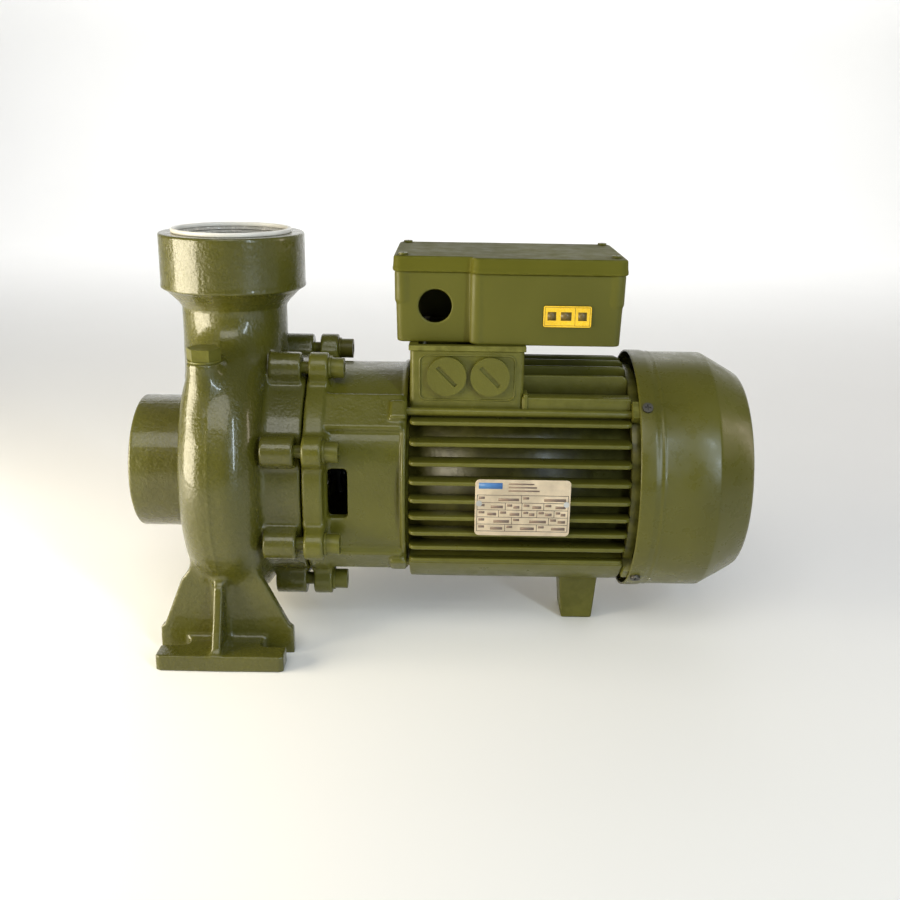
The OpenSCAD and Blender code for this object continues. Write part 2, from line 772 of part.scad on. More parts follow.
volute_casing();
wear_ring();
port_ring();
casing_o_ring();
priming_plug();
priming_plug_washer();
drain_plug();
flange_bolts();
flange_washers();
motor_bracket();
seal_seat();
front_bearing_outer();
front_bearing_inner();
front_bearing_balls();
rear_bearing_outer();
rear_bearing_inner();
rear_bearing_balls();
wave_washer();
shaft();
impeller();
impeller_key();
impeller_washer();
impeller_nut();
seal_rotating_ring();
seal_bellows();
seal_spring();
slinger();
rotor_core();
stator_core();
stator_winding();
motor_housing();
rear_end_shield();
tie_rods();
tie_rod_nuts();
support_foot();
support_foot_screw();
cooling_fan();
fan_clip();
fan_cover();
fan_cover_screws();
box_gasket();
blanking_plugs();
plug_seals();
terminal_board();
terminal_studs();
terminal_nuts();
earth_screw();
run_capacitor();
capacitor_clip();
box_body();
box_screws();
lid_gasket();
box_lid();
lid_screws();
nameplate();
nameplate_rivets();
info_label();
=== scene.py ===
import math
import bmesh
import bpy
import numpy as np
from mathutils import Matrix, Vector


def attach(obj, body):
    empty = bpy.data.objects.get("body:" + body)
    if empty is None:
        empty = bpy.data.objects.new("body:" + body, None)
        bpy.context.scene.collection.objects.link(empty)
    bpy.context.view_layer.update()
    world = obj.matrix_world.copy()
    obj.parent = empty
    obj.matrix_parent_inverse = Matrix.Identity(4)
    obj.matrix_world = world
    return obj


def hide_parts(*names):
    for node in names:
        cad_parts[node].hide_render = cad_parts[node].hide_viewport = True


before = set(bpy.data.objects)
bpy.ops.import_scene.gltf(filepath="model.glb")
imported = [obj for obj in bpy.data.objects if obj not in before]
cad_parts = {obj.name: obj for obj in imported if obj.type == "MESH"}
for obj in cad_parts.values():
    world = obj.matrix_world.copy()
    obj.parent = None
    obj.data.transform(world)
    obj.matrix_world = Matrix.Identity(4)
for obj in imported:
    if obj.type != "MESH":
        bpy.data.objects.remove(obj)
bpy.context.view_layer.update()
MM = 0.001
SHAFT_Z = 132.0

# ---------------------------------------------------------------- signed distance modelling


def smooth_min(a, b, k):
    if k <= 0:
        return np.minimum(a, b)
    h = np.clip(0.5 + 0.5 * (b - a) / k, 0, 1)
    return b + (a - b) * h - k * h * (1 - h)


class Field:
    """A signed distance grid in millimetres that shapes are blended into or cut from."""

    def __init__(self, lo, hi, step):
        self.step = step
        self.lo = np.array(lo, float) - 3 * step
        n = np.ceil((np.array(hi, float) + 3 * step - self.lo) / step).astype(int) + 1
        self.axes = [self.lo[i] + step * np.arange(n[i]) for i in range(3)]
        self.f = np.full(tuple(n), 1e3, np.float32)

    def _part(self, lo, hi, k):
        cut = []
        for i in range(3):
            a = np.searchsorted(self.axes[i], lo[i] - k - 4 * self.step)
            b = np.searchsorted(self.axes[i], hi[i] + k + 4 * self.step)
            cut.append(slice(int(a), int(max(b, a + 1))))
        x, y, z = (self.axes[i][cut[i]].astype(np.float32) for i in range(3))
        return tuple(cut), x[:, None, None], y[None, :, None], z[None, None, :]

    def add(self, shape, lo, hi, k=0.0):
        s, x, y, z = self._part(lo, hi, k)
        self.f[s] = smooth_min(self.f[s], shape(x, y, z).astype(np.float32), k)

    def cut(self, shape, lo, hi, k=0.0):
        s, x, y, z = self._part(lo, hi, k)
        self.f[s] = -smooth_min(-self.f[s], shape(x, y, z).astype(np.float32), k)

    def sample(self, p):
        q = (p - self.lo) / self.step
        top = np.array(self.f.shape) - 2
        i = np.clip(np.floor(q).astype(int), 0, top)
        t = q - i
        out = np.zeros(len(p))
        for a in (0, 1):
            for b in (0, 1):
                for c in (0, 1):
                    w = (t[:, 0] if a else 1 - t[:, 0]) * (t[:, 1] if b else 1 - t[:, 1]) * (t[:,
                            2] if c else 1 - t[:, 2])
                    out += w * self.f[i[:, 0] + a, i[:, 1] + b, i[:, 2] + c]
        return out

    def mesh(self, name):
        f = self.f
        ins = f < 0
        count = np.zeros(tuple(n - 1 for n in f.shape), np.uint8)
        for a in (0, 1):
            for b in (0, 1):
                for c in (0, 1):
                    count += ins[a:f.shape[0] - 1 + a, b:f.shape[1] - 1 + b, c:f.shape[2] - 1 + c]
        mixed = (count > 0) & (count < 8)
        cells = np.argwhere(mixed)
        index = np.full(mixed.shape, -1, np.int64)
        index[mixed] = np.arange(len(cells))
        acc = np.zeros((len(cells), 3))
        hits = np.zeros(len(cells))
        corners = [(a, b, c) for a in (0, 1) for b in (0, 1) for c in (0, 1)]
        for p in corners:
            for ax in range(3):
                if p[ax]:
                    continue
                q = list(p)
                q[ax] = 1
                fa = f[cells[:, 0] + p[0], cells[:, 1] + p[1], cells[:, 2] + p[2]].astype(float)
                fb = f[cells[:, 0] + q[0], cells[:, 1] + q[1], cells[:, 2] + q[2]].astype(float)
                m = (fa < 0) != (fb < 0)
                t = np.where(m, fa / np.where(m, fa - fb, 1), 0)
                pt = np.tile(np.array(p, float), (len(cells), 1))
                pt[:, ax] = t
                acc += pt * m[:, None]
                hits += m
        verts = self.lo + self.step * (cells + acc / hits[:, None])
        for _ in range(2):
            d = self.sample(verts)
            g = np.stack([self.sample(verts + e) - self.sample(verts - e) for e in np.eye(3) * 0.5], 1)
            g /= np.maximum((g * g).sum(1), 0.25)[:, None]
            move = np.clip(-d[:, None] * g, -0.6, 0.6)
            verts = verts + move
        faces = []
        for ax in range(3):
            u, v = [(1, 2), (2, 0), (0, 1)][ax]
            lo = [slice(None)] * 3
            hi = [slice(None)] * 3
            lo[ax] = slice(0, f.shape[ax] - 1)
            hi[ax] = slice(1, f.shape[ax])
            a, b = ins[tuple(lo)], ins[tuple(hi)]
            for sign, mask in ((1, a & ~b), (-1, ~a & b)):
                e = np.argwhere(mask)
                e = e[(e[:, u] > 0) & (e[:, v] > 0) & (e[:, u] < f.shape[u] - 1) & (e[:, v] < f.shape[v] - 1)]
                quad = []
                for du, dv in ((-1, -1), (0, -1), (0, 0), (-1, 0)):
                    c = e.copy()
                    c[:, u] += du
                    c[:, v] += dv
                    quad.append(index[c[:, 0], c[:, 1], c[:, 2]])
                quad = np.stack(quad, 1)
                faces.append(quad if sign > 0 else quad[:, ::-1])
        faces = np.concatenate(faces)
        return mesh_object(name, verts, faces)


def mesh_object(name, verts, faces):
    me = bpy.data.meshes.new(name)
    me.from_pydata((np.asarray(verts, float) * MM).tolist(), [], [list(map(int, q)) for q in faces])
    me.validate()
    me.polygons.foreach_set("use_smooth", [True] * len(me.polygons))
    me.update()
    ob = bpy.data.objects.new(name, me)
    bpy.context.scene.collection.objects.link(ob)
    return ob


def round_mix(d1, d2, e):
    return np.minimum(np.maximum(d1, d2), 0) + np.hypot(np.maximum(d1, 0), np.maximum(d2, 0)) - e


def cyl_x(r, x0, x1, cy=0.0, cz=SHAFT_Z, e=0.8):
    return lambda x, y, z: round_mix(np.hypot(y - cy, z - cz) - (r - e),
            np.abs(x - (x0 + x1) / 2) - ((x1 - x0) / 2 - e), e)


def cyl_y(r, y0, y1, cx, cz, e=0.8):
    return lambda x, y, z: round_mix(np.hypot(x - cx, z - cz) - (r - e),
            np.abs(y - (y0 + y1) / 2) - ((y1 - y0) / 2 - e), e)


def cyl_z(r, z0, z1, cx=0.0, cy=0.0, e=0.8):
    return lambda x, y, z: round_mix(np.hypot(x - cx, y - cy) - (r - e),
            np.abs(z - (z0 + z1) / 2) - ((z1 - z0) / 2 - e), e)


def cone_z(z0, r0, z1, r1, cx=0.0, cy=0.0):
    def shape(x, y, z):
        t = np.clip((z - z0) / (z1 - z0), 0, 1)
        c = (z1 - z0) / math.hypot(z1 - z0, r1 - r0)
        return np.maximum((np.hypot(x - cx, y - cy) - (r0 + (r1 - r0) * t)) * c, np.maximum(z0 - z, z - z1))
    return shape


def cone_x(x0, r0, x1, r1):
    def shape(x, y, z):
        t = np.clip((x - x0) / (x1 - x0), 0, 1)
        c = (x1 - x0) / math.hypot(x1 - x0, r1 - r0)
        return np.maximum((np.hypot(y, z - SHAFT_Z) - (r0 + (r1 - r0) * t)) * c, np.maximum(x0 - x, x - x1))
    return shape


def box_shape(x0, x1, y0, y1, z0, z1, e=1.0):
    def shape(x, y, z):
        dx = np.abs(x - (x0 + x1) / 2) - ((x1 - x0) / 2 - e)
        dy = np.abs(y - (y0 + y1) / 2) - ((y1 - y0) / 2 - e)
        dz = np.abs(z - (z0 + z1) / 2) - ((z1 - z0) / 2 - e)
        out = np.sqrt(np.maximum(dx, 0) ** 2 + np.maximum(dy, 0) ** 2 + np.maximum(dz, 0) ** 2)
        return out + np.minimum(np.maximum(np.maximum(dx, dy), dz), 0) - e
    return shape


def spun(shape, deg):
    """The shape is written with +Y as the radial direction from the shaft line, at height zero."""
    c, s = math.cos(math.radians(deg)), math.sin(math.radians(deg))
    return lambda x, y, z: shape(x, y * c + (z - SHAFT_Z) * s, -y * s + (z - SHAFT_Z) * c)


def poly_sdf(pts):
    pts = np.array(pts, float)

    def shape(u, v):
        d = None
        inside = None
        for i in range(len(pts)):
            a, b = pts[i], pts[(i + 1) % len(pts)]
            ex, ey = b - a
            wx, wy = u - a[0], v - a[1]
            t = np.clip((wx * ex + wy * ey) / (ex * ex + ey * ey), 0, 1)
            dd = (wx - ex * t) ** 2 + (wy - ey * t) ** 2
            d = dd if d is None else np.minimum(d, dd)
            c1 = (v >= a[1]) & (v < b[1]) & (ex * wy > ey * wx)
            c2 = (v < a[1]) & (v >= b[1]) & (ex * wy < ey * wx)
            cross = c1 | c2
            inside = cross if inside is None else inside ^ cross
        return np.where(inside, -1, 1) * np.sqrt(d)
    return shape


# ---------------------------------------------------------------- volute casing

TURN = 6.0


def scroll_shape(half_h, half_w, corner, crown, mid_x=0.5):
    def shape(x, y, z):
        yy, zz = np.broadcast_arrays(y, z - SHAFT_Z)
        r = np.hypot(yy, zz)
        turn = np.mod(90 - np.degrees(np.arctan2(zz, yy)), 360) / 90.0
        mid = 66 + TURN * turn
        seam = 0.55 * np.exp(-((x + 3) / 0.9) ** 2)
        hh = half_h + crown * (1 - np.minimum(np.abs(x - mid_x) / half_w, 1)) + seam
        dr = np.abs(r - mid) - (hh - corner)
        dx = np.abs(x - mid_x) - (half_w - corner)
        return np.minimum(np.maximum(dr, dx), 0) + np.hypot(np.maximum(dr, 0), np.maximum(dx, 0)) - corner
    return shape


def ear_shape(x0, x1):
    tab = box_shape(x0, x1, 74, 97, -12, 12, 1.5)
    head = lambda x, y, z: round_mix(np.hypot(y - 97, z) - 10.5,
            np.abs(x - (x0 + x1) / 2) - ((x1 - x0) / 2 - 1.5), 1.5)
    return lambda x, y, z: np.minimum(tab(x, y, z), head(x, y, z))


def build_volute():
    v = Field((-80, -121, 0), (61, 121, 322), 1.25)
    big_lo, big_hi = (-40, -121, 10), (34, 121, 262)
    v.add(scroll_shape(31, 30.5, 25, 0.6), big_lo, big_hi)
    v.add(cyl_x(74, -35, 31, e=4), (-35, -76, 56), (31, 76, 208), 8)
    v.add(cyl_x(54.6, -80, -30, e=1.2), (-80, -56, 76), (-30, 56, 188), 5)
    v.add(cyl_z(41.3, 205, 270, e=2), (-42, -42, 200), (42, 42, 272), 15)
    v.add(cone_z(267, 42.5, 280, 55.6), (-57, -57, 265), (57, 57, 282), 4)
    v.add(cyl_z(56.75, 279.5, 321.5, e=1.4), (-58, -58, 278), (58, 58, 322), 3)
    v.add(cyl_x(90, 24, 61, e=1.5), (24, -91, 41), (61, 91, 223), 6)
    for i in range(8):
        a = 22.5 + 45 * i
        cy, cz = 90 * math.cos(math.radians(a)), SHAFT_Z + 90 * math.sin(math.radians(a))
        v.add(spun(ear_shape(33, 58), a), (33, cy - 24, cz - 24), (58, cy + 24, cz + 24), 4)
    web = poly_sdf([[-52.5, 0], [52.5, 0], [52.5, 21], [49, 24], [30, 62], [18, 80], [-20, 80], [-34, 62],
            [-49, 24], [-52.5, 21]])
    for s in (-1, 1):
        y0, y1 = sorted((s * 80.0, s * 88.0))
        v.add(lambda x, y, z: round_mix(web(x, z) + 1, np.abs(y - s * 84) - 3, 1), (-53, y0, 0),
                (53, y1, 82), 7)
        rib = poly_sdf([[82, 8], [119, 8], [117, 15], [108, 34], [98, 60], [82, 72]])
        v.add(lambda x, y, z: round_mix(rib(s * y, z) + 1, np.abs(x + 3) - 2.4, 1),
                (-8, min(s * 80, s * 119), 8), (2, max(s * 80, s * 119), 74), 7)
        pad = poly_sdf([[-49, 80], [49, 80], [49.2, 118.6], [46, 120.2], [0, 120.8], [-46, 120.2],
                [-49.2, 118.6]])
        v.add(lambda x, y, z: round_mix(pad(x, s * y) + 1, np.abs(z - 6.5) - 5.5, 1),
                (-50, min(s * 80, s * 121), 0), (50, max(s * 80, s * 121), 13), 5)
        for t in (-1, 1):
            slot = lambda x, y, z: np.where(t * x > 35, np.abs(y - s * 95) - 7,
                    np.hypot(x - t * 35, y - s * 95) - 7) + 0 * z
            v.cut(slot, (min(t * 26, t * 56), s * 95 - 8, -2), (max(t * 26, t * 56), s * 95 + 8, 24), 0.8)
    v.add(cyl_z(13, 186, 234, -9, -76, e=1.5), (-23, -90, 186), (5, -62, 234), 12)
    v.add(cyl_y(9, 66, 93, 25, 52), (16, 66, 43), (34, 93, 61), 5)
    v.cut(scroll_shape(24, 23.5, 18, 0), (-30, -118, 20), (26, 118, 250))
    v.cut(cyl_x(74, -28, 48), (-28, -75, 57), (48, 75, 207))
    v.cut(cyl_x(78, 46, 70), (46, -79, 53), (64, 79, 211), 0.6)
    v.cut(cyl_x(42.5, -90, -50), (-82, -43, 89), (-50, 43, 175), 1.6)
    v.cut(cyl_x(36, -80, -20), (-80, -37, 95), (-20, 37, 169))
    v.cut(cyl_z(42.8, 291.5, 330), (-43, -43, 291), (43, 43, 324), 1.2)
    v.cut(cyl_z(33, 214, 300), (-34, -34, 214), (34, 34, 300))
    v.cut(cyl_z(9.5, 190, 240, -9, -76), (-19, -86, 190), (1, -66, 238))
    for i in range(8):
        a = math.radians(22.5 + 45 * i)
        cy, cz = 97 * math.cos(a), SHAFT_Z + 97 * math.sin(a)
        v.cut(cyl_x(5, 40, 66, cy, cz, 0.2), (40, cy - 6, cz - 6), (60, cy + 6, cz + 6))
    ob = v.mesh("casing_cast")
    for vert in ob.data.vertices:
        x, y, z = vert.co
        vert.co = (min(max(x, -0.080), 0.061), min(max(y, -0.1208), 0.1208), min(max(z, 0.0), 0.3215))
    return ob


def build_bracket():
    b = Field((46, -110, 22), (147, 110, 242), 1.2)
    b.add(cyl_x(90, 62.2, 78, e=2.5), (62, -91, 41), (78, 91, 223))
    for i in range(8):
        a = 22.5 + 45 * i
        cy, cz = 90 * math.cos(math.radians(a)), SHAFT_Z + 90 * math.sin(math.radians(a))
        b.add(spun(ear_shape(64, 79), a), (64, cy - 24, cz - 24), (79, cy + 24, cz + 24), 5)
    shell = cyl_x(85, 74, 138, e=3)
    b.add(lambda x, y, z: -smooth_min(-shell(x, y, z), -(np.abs(y) - 79 + 0 * x + 0 * z), 6), (74, -86, 46),
            (138, 86, 218), 6)
    for a in (45, 135, 225, 315):
        cy, cz = 75 * math.cos(math.radians(a)), SHAFT_Z + 75 * math.sin(math.radians(a))
        b.add(spun(box_shape(78, 138.5, 56, 88.5, -16, 16, 3.0), a), (78, cy - 40, cz - 40),
                (140, cy + 40, cz + 40), 2.5)
        b.add(spun(box_shape(128, 141, 60, 92.5, -8, 8, 2.0), a), (128, cy - 40, cz - 40),
                (141, cy + 40, cz + 40), 2.5)
    b.add(cyl_x(87, 137, 141, e=1.6), (137, -88, 44), (141, 88, 220), 1.5)
    b.add(cyl_x(77.9, 47, 64, e=0.6), (47, -78, 54), (64, 78, 210), 1)
    b.add(cyl_x(78, 140, 143.2, e=0.3), (140, -79, 53), (144, 79, 211))
    b.cut(cyl_x(72, 58, 127, e=3), (58, -73, 59), (127, 73, 205))
    b.add(cone_x(57, 44, 72, 34), (57, -45, 87), (72, 45, 177), 2)
    b.add(cyl_x(37, 112, 128), (112, -38, 94), (128, 38, 170), 2)
    b.cut(cyl_x(18.5, 40, 160), (46, -20, 112), (147, 20, 152))
    b.cut(cyl_x(31.3, 122, 160), (122, -32, 100), (147, 32, 164))
    for s in (-1, 1):
        b.cut(box_shape(80.5, 96, min(s * 60, s * 100), max(s * 60, s * 100), SHAFT_Z - 20, SHAFT_Z + 20,
                3.5), (80, min(s * 60, s * 100), 110), (97, max(s * 60, s * 100), 154), 1)
    b.cut(box_shape(82, 112, -10, 10, 30, 92, 3), (82, -11, 30), (112, 11, 92), 1)
    for i in range(8):
        a = math.radians(22.5 + 45 * i)
        cy, cz = 97 * math.cos(a), SHAFT_Z + 97 * math.sin(a)
        b.cut(cyl_x(5.2, 58, 86, cy, cz, 0.2), (60, cy - 6, cz - 6), (84, cy + 6, cz + 6))
    return b.mesh("bracket_cast")


# ---------------------------------------------------------------- swept and turned pieces


def bevelled(ob, width, segments=3, angle=30):
    w = ob.modifiers.new("weld", "WELD")
    w.merge_threshold = 0.00001
    m = ob.modifiers.new("edge_round", "BEVEL")
    m.width = width * MM
    m.segments = segments
    m.limit_method = "ANGLE"
    m.angle_limit = math.radians(angle)
    m.harden_normals = True
    return ob


def rounded(pts, r, steps=6):
    """Outline with its corners rounded; r is one radius or one per corner."""
    out = []
    n = len(pts)
    for i in range(n):
        p = Vector(pts[i])
        rr = r[i] if isinstance(r, (list, tuple)) else r
        if rr <= 0:
            out.append(tuple(p))
            continue
        a = (Vector(pts[i - 1]) - p).normalized()
        b = (Vector(pts[(i + 1) % n]) - p).normalized()
        half = math.acos(max(-1, min(1, a.dot(b)))) / 2
        cut = rr / math.tan(half)
        c = p + (a + b).normalized() * (rr / math.sin(half))
        p0, p1 = p + a * cut, p + b * cut
        a0 = math.atan2(p0.y - c.y, p0.x - c.x)
        a1 = math.atan2(p1.y - c.y, p1.x - c.x)
        while a1 - a0 > math.pi:
            a1 -= 2 * math.pi
        while a1 - a0 < -math.pi:
            a1 += 2 * math.pi
        for k in range(steps + 1):
            t = a0 + (a1 - a0) * k / steps
            out.append((c.x + rr * math.cos(t), c.y + rr * math.sin(t)))
    return out


def prism(name, pts, lo, hi, axis="z", bevel=0.8, segments=3):
    """Outline extruded from lo to hi. Outline is (y,z) for x, (x,z) for y and (x,y) for z."""
    place = {"x": lambda u, v, w: (w, u, v), "y": lambda u, v, w: (u, w, v), "z": lambda u, v,
            w: (u, v, w)}[axis]
    verts = [place(u, v, lo) for u, v in pts] + [place(u, v, hi) for u, v in pts]
    n = len(pts)
    faces = [list(range(n - 1, -1, -1)), list(range(n, 2 * n))]
    faces += [[i, (i + 1) % n, n + (i + 1) % n, n + i] for i in range(n)]
    ob = mesh_object(name, verts, faces)
    bm = bmesh.new()
    bm.from_mesh(ob.data)
    bmesh.ops.recalc_face_normals(bm, faces=bm.faces)
    bm.to_mesh(ob.data)
    bm.free()
    if bevel:
        bevelled(ob, bevel, segments)
    return ob


def rect(a0, a1, b0, b1, r=0.0, steps=5):
    return rounded([(a0, b0), (a1, b0), (a1, b1), (a0, b1)], r, steps)


def lathe(name, profile, n=144, cy=0.0, cz=SHAFT_Z, closed=True, skip=None):
    """Profile of (x, r) points turned about the shaft line. skip(segment, step) leaves a face out."""
    verts = []
    for k in range(n):
        a = 2 * math.pi * k / n
        verts += [(x, cy + r * math.cos(a), cz + r * math.sin(a)) for x, r in profile]
    m = len(profile)
    faces = []
    for k in range(n):
        for i in range(m if closed else m - 1):
            if skip and skip(i, k):
                continue
            j = (i + 1) % m
            k2 = (k + 1) % n
            faces.append([k * m + i, k * m + j, k2 * m + j, k2 * m + i])
    ob = mesh_object(name, verts, faces)
    bm = bmesh.new()
    bm.from_mesh(ob.data)
    bmesh.ops.remove_doubles(bm, verts=bm.verts, dist=1e-6)
    bmesh.ops.recalc_face_normals(bm, faces=bm.faces)
    bm.to_mesh(ob.data)
    bm.free()
    return ob


def tube_along(name, pts, radius, cyclic=False):
    cu = bpy.data.curves.new(name, "CURVE")
    cu.dimensions = "3D"
    cu.bevel_depth = radius * MM
    cu.bevel_resolution = 3
    sp = cu.splines.new("POLY")
    sp.points.add(len(pts) - 1)
    for p, q in zip(sp.points, pts):
        p.co = (q[0] * MM, q[1] * MM, q[2] * MM, 1)
    sp.use_cyclic_u = cyclic
    tmp = bpy.data.objects.new(name + "_c", cu)
    bpy.context.scene.collection.objects.link(tmp)
    bpy.context.view_layer.update()
    me = bpy.data.meshes.new_from_object(tmp)
    bpy.data.objects.remove(tmp)
    me.name = name
    me.polygons.foreach_set("use_smooth", [True] * len(me.polygons))
    ob = bpy.data.objects.new(name, me)
    bpy.context.scene.collection.objects.link(ob)
    return ob


def join(name, obs):
    """Bakes each object's modifiers and joins them into one mesh object."""
    deps = bpy.context.evaluated_depsgraph_get()
    bm = bmesh.new()
    for ob in obs:
        ev = ob.evaluated_get(deps)
        me = bpy.data.meshes.new_from_object(ev)
        bm.from_mesh(me)
        bpy.data.meshes.remove(me)
    for ob in obs:
        bpy.data.objects.remove(ob)
    me = bpy.data.meshes.new(name)
    bm.to_mesh(me)
    bm.free()
    me.polygons.foreach_set("use_smooth", [True] * len(me.polygons))
    out = bpy.data.objects.new(name, me)
    bpy.context.scene.collection.objects.link(out)
    return out


# ---------------------------------------------------------------- motor housing

FIN_R = 93.0


def build_housing():
    parts = [lathe("tube", [(143, 75.1), (143, 79), (313, 79), (313, 75.1)])]
    x0, x1 = 143.4, 312.8
    for k in range(-4, 5):
        z = SHAFT_Z + 14 * k
        tip = math.sqrt(FIN_R ** 2 - (14 * k) ** 2) - 0.2
        root = math.sqrt(max(77.0 ** 2 - (14 * k) ** 2, 0))
        for s in (-1, 1):
            ys = sorted((s * root, s * tip))
            pts = [(x0, ys[0]), (x1, ys[0]), (x1, ys[1]), (x0, ys[1])]
            r = 5.0 if tip - root > 12 else 4.0
            radii = [r, r, 0, 0] if s < 0 else [0, 0, r, r]
            parts.append(prism("fin", rounded(pts, radii), z - 1.7, z + 1.7, "z", 1.35, 4))
    for k in (-2.5, -1.5, -0.5, 0.5, 1.5, 2.5):
        y = 14 * k
        tip = math.sqrt(FIN_R ** 2 - y * y) - 0.2
        root = math.sqrt(77.0 ** 2 - y * y)
        top = rounded([(x0, SHAFT_Z + root), (x1, SHAFT_Z + root), (x1, SHAFT_Z + tip),
                (x0, SHAFT_Z + tip)], [0, 0, 5, 5])
        parts.append(prism("fin", top, y - 1.7, y + 1.7, "y", 1.35, 4))
        low = [(x, 2 * SHAFT_Z - z) for x, z in top]
        if abs(y) < 20:
            low = rounded([(x0, SHAFT_Z - root), (263, SHAFT_Z - root), (263, SHAFT_Z - tip),
                    (x0, SHAFT_Z - tip)], [0, 0, 0, 5])
            tail = rounded([(307, SHAFT_Z - root), (x1, SHAFT_Z - root), (x1, SHAFT_Z - tip),
                    (307, SHAFT_Z - tip)], [0, 0, 3, 0])
            parts.append(prism("fin", tail, y - 1.7, y + 1.7, "y", 1.3, 4))
        parts.append(prism("fin", low, y - 1.7, y + 1.7, "y", 1.35, 4))
    for s in (-1, 1):
        arc = [(s * FIN_R * math.cos(math.radians(a)),
                SHAFT_Z - FIN_R * math.sin(math.radians(a))) for a in np.linspace(39, 64, 14)]
        back = [(s * 76 * math.cos(math.radians(a)), SHAFT_Z - 76 * math.sin(math.radians(a))) for a in (64,
                52, 39)]
        parts.append(prism("skirt", arc + back, x0, x1, "x", 1.6, 4))
        parts.append(prism("corner", rect(*sorted((s * 46.0, s * 60.0)), 182, 206, 1.8), 229, x1, "x", 1.2,
                3))
        parts.append(prism("corner_rib", rect(*sorted((s * 44.0, s * 60.8)), 184, 208.4, 1.5), 230, 233.4,
                "x", 0.9, 3))
    parts.append(prism("terminal_base", rect(143, 230, -58, 45, 4.0, 6), 178, 241, "z", 0.9, 3))
    parts.append(prism("base_shelf", rect(143.2, 229.8, -59.6, -40, 2.5, 5), 186, 197, "z", 1.5, 4))
    frame_line = [(x, -58.05, z) for x, z in rect(150.5, 223, 203, 237.5, 5.0, 8)]
    parts.append(tube_along("base_outline", frame_line, 0.75, True))
    parts.append(prism("plate_pad", rect(197, 263, 110, 148, 2.0), -92.95, -74, "y", 0.8, 2))
    parts.append(prism("foot_boss", rect(264.3, 305.7, -19.8, 19.8, 3.0), 42, 58, "z", 0.8, 3))
    return join("housing_cast", parts)


def build_cover():
    outer = [(318.0, 96.5), (317.6, 97.2), (318.0, 97.9), (319, 98), (328.3, 98), (329.6, 97.9),
            (331, 97.6), (333, 97.1),
             (334.2, 97.05), (335, 97.2), (335.8, 97.25), (336.6, 97.0), (338, 96.8), (358, 96.8), (377.2,
                     96.8), (378.4, 96.5),
             (379.4, 96.0), (380.4, 95.4), (393, 88.4), (404.6, 81.6), (406.4, 80.3), (407.5, 78.8), (408,
                     77.0)]
    ends = [73, 69, 64, 58, 53, 47, 42, 36, 31, 25, 20, 8, 0.01]
    prof = outer + [(408.0, r) for r in ends]
    n = 180
    base = len(outer)
    slots = {base + 1: 0, base + 3: 1, base + 5: 2, base + 7: 3, base + 9: 4}

    def skip(i, k):
        if i not in slots:
            return False
        ring = slots[i]
        r = prof[i][1]
        half = math.degrees(math.asin(min(1, 3.2 / r)))
        a = (k + 0.5) * 360.0 / n + (11 if ring % 2 else 0)
        d = min(a % 45, 45 - a % 45)
        return d > half
    ob = lathe("fan_cowl", prof, n, closed=False, skip=skip)
    s = ob.modifiers.new("sheet", "SOLIDIFY")
    s.thickness = 1.5 * MM
    s.offset = -1
    s.use_even_offset = True
    b = ob.modifiers.new("edge_round", "BEVEL")
    b.width = 0.35 * MM
    b.segments = 2
    b.limit_method = "ANGLE"
    b.angle_limit = math.radians(55)
    return ob


# ---------------------------------------------------------------- terminal box


def box_outline(x, y, g, r):
    def part(x0, x1, y0, y1):
        dx = np.abs(x - (x0 + x1) / 2) - ((x1 - x0) / 2 - r)
        dy = np.abs(y - (y0 + y1) / 2) - ((y1 - y0) / 2 - r)
        return np.hypot(np.maximum(dx, 0), np.maximum(dy, 0)) + np.minimum(np.maximum(dx, dy), 0) - r
    left = part(131 - g, 215, -47 - g, 49 + g)
    right = part(190 - g, 303.5 + g, -56 - g, 49 + g)
    return smooth_min(left, right, 2.5)


def build_box():
    b = Field((130, -57, 245), (305, 50, 299), 1.0)

    def body(g_top, g_low, r, e):
        return lambda x, y, z: round_mix(box_outline(x, y, g_low + (g_top - g_low) * (z - 245) / 54, r) + e,
                np.abs(z - 272) - (27 - e), e)
    b.add(body(-0.1, -1.5, 5.0, 1.4), (130, -57, 245), (305, 50, 299))
    for cx, cy in ((137, -41), (137, 43), (297.5, -50), (297.5, 43)):
        s = 1 if cx > 200 else -1
        b.add(cyl_z(5.6, 276, 299, cx + s * 0.3, cy - (0.3 if cy < 0 else -0.3), 0.8),
                (cx - 7, cy - 7, 276), (cx + 7, cy + 7, 299), 2.5)
    b.add(cyl_z(4.6, 246, 299, 192.5, -50.2, 0.8), (186, -56, 246), (198, -44, 299), 3)
    b.cut(body(-3.1, -4.4, 3.0, 0.5), (134, -53, 248), (300, 46, 299))
    b.cut(box_shape(134, 300, -44, 46, 248, 305, 2), (134, -44, 248), (300, 46, 301))
    b.cut(box_shape(193, 300, -53, 46, 248, 305, 2), (193, -53, 248), (300, 46, 301))
    b.cut(cyl_y(12.6, -60, -38, 161.5, 273, 0.1), (148, -50, 259), (175, -40, 287), 0.8)
    b.cut(box_shape(162, 211, -34, 28, 240, 252, 2), (162, -34, 244), (211, 28, 250))
    return b.mesh("box_cast")


